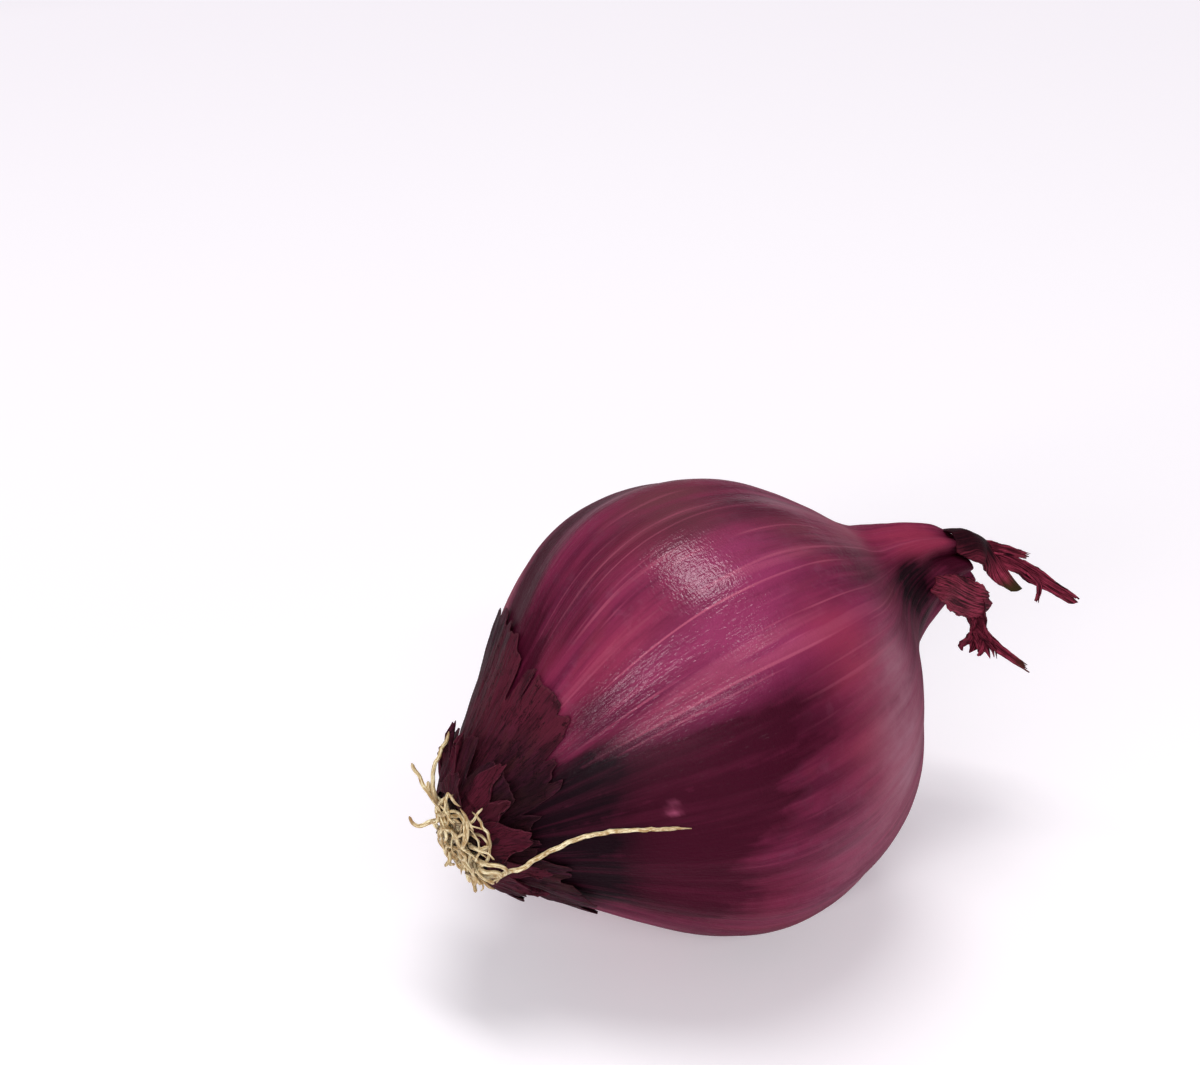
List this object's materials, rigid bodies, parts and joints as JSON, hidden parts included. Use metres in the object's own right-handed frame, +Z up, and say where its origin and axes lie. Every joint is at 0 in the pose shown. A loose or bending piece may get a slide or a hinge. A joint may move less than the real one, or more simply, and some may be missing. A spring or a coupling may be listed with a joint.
{
  "type": "onion",
  "caption": "Red onion lying on its side: round bulb with a dried neck and torn leaf ends, torn dry skins at the root end, and a tuft of dried roots.",
  "frame": {"origin": "centre of the small flat spot under the globe, on which the onion rests", "axes": "+Z up, +X level from the root end to the neck, +Y across"},
  "size_m": [0.1204, 0.075, 0.0741],
  "materials": {
    "onion_skin": "satin onion skin, wine red",
    "dry_skin": "dull dry scale, brown red",
    "dried_root": "matte dried root, straw",
    "dry_leaf": "matte dried leaf, dark wine red"
  },
  "bodies": {
    "root": {"bulb": "onion_skin", "old_skin": "dry_skin", "collar": "dry_skin", "root_tuft": "dried_root", "upper_leaf": "dry_leaf", "lower_leaf": "dry_leaf", "back_leaf": "dry_leaf"}
  },
  "joints": []
}
